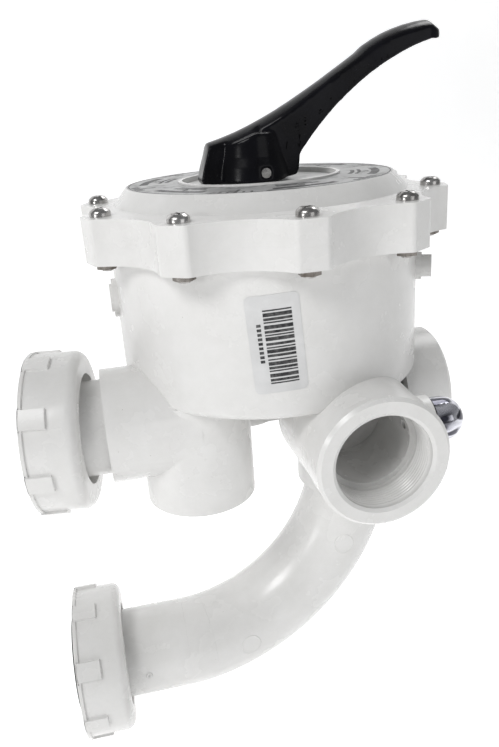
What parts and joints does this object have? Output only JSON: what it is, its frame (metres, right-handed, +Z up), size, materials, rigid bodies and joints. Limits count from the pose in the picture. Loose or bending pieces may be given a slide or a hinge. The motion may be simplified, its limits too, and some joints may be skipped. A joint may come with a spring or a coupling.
{
  "type": "multiport valve",
  "caption": "Side-mount pool filter valve: lidded round body with a lift-and-turn lever, threaded ports, sight glass and two tank unions, the lower one on a bent pipe.",
  "frame": {"origin": "centre of the upper union's sealing face, where the valve is fastened to the filter tank", "axes": "-X out of both unions towards the tank, +Z up along the rotor's axis, -Y towards the front threaded port"},
  "size_m": [0.2838, 0.244, 0.4588],
  "materials": {
    "white_plastic": "glossy moulded",
    "black_plastic": "glossy moulded",
    "inner_plastic": "satin moulded",
    "washer_plastic": "satin",
    "dial_print": "printed",
    "label_stock": "printed",
    "stainless": "bright",
    "seal_rubber": "smooth",
    "clear_plastic": "clear"
  },
  "bodies": {
    "valve": {"valve_body": "white_plastic", "lid": "white_plastic", "lid_oring": "seal_rubber", "dial_plate": "dial_print", "lid_screws": "stainless", "lid_nuts": "stainless", "spider_gasket": "seal_rubber", "spring_washer_top": "inner_plastic", "stem_orings": "seal_rubber", "upper_tailpiece": "white_plastic", "upper_union_oring": "seal_rubber", "lower_elbow": "white_plastic", "lower_tail_flange": "white_plastic", "lower_union_oring": "seal_rubber", "sight_glass": "clear_plastic", "sight_glass_gasket": "seal_rubber", "gauge_plug": "white_plastic", "drain_plug": "white_plastic", "sticker": "label_stock"},
    "turntable": {"handle_washer": "washer_plastic"},
    "rotor": {"rotor": "inner_plastic", "rotor_spring": "stainless", "spring_washer_bottom": "inner_plastic", "handle_pin": "stainless"},
    "lever": {"handle": "black_plastic"},
    "upper_nut": {"upper_union_nut": "white_plastic"},
    "lower_nut": {"lower_union_nut": "white_plastic"}
  },
  "joints": [
    {"name": "rotor_turn", "type": "hinge", "parent": "valve", "child": "turntable", "pos_m": [0.16, 0.032, 0.1386], "axis": [0, 0, 1], "continuous": true},
    {"name": "rotor_lift", "type": "slide", "parent": "turntable", "child": "rotor", "axis": [0, 0, 1], "range_m": [0, 0.007], "stiffness_N_per_m": 3000, "springref_m": -0.01, "deforming": ["rotor_spring"]},
    {"name": "lever_press", "type": "hinge", "parent": "rotor", "child": "lever", "pos_m": [0.16, 0.032, 0.1456], "axis": [0, 1, 0], "range_deg": [0, 25]},
    {"name": "upper_nut_spin", "type": "hinge", "parent": "valve", "child": "upper_nut", "pos_m": [0.034, 0, 0], "axis": [0.9903, -0.1392, 0], "continuous": true},
    {"name": "lower_nut_spin", "type": "hinge", "parent": "valve", "child": "lower_nut", "pos_m": [0.034, 0, -0.18], "axis": [1, 0, 0], "continuous": true}
  ],
  "couplings": [
    {"joint": "lever_press", "follows": "rotor_lift", "rad_per_m": 62.333}
  ]
}
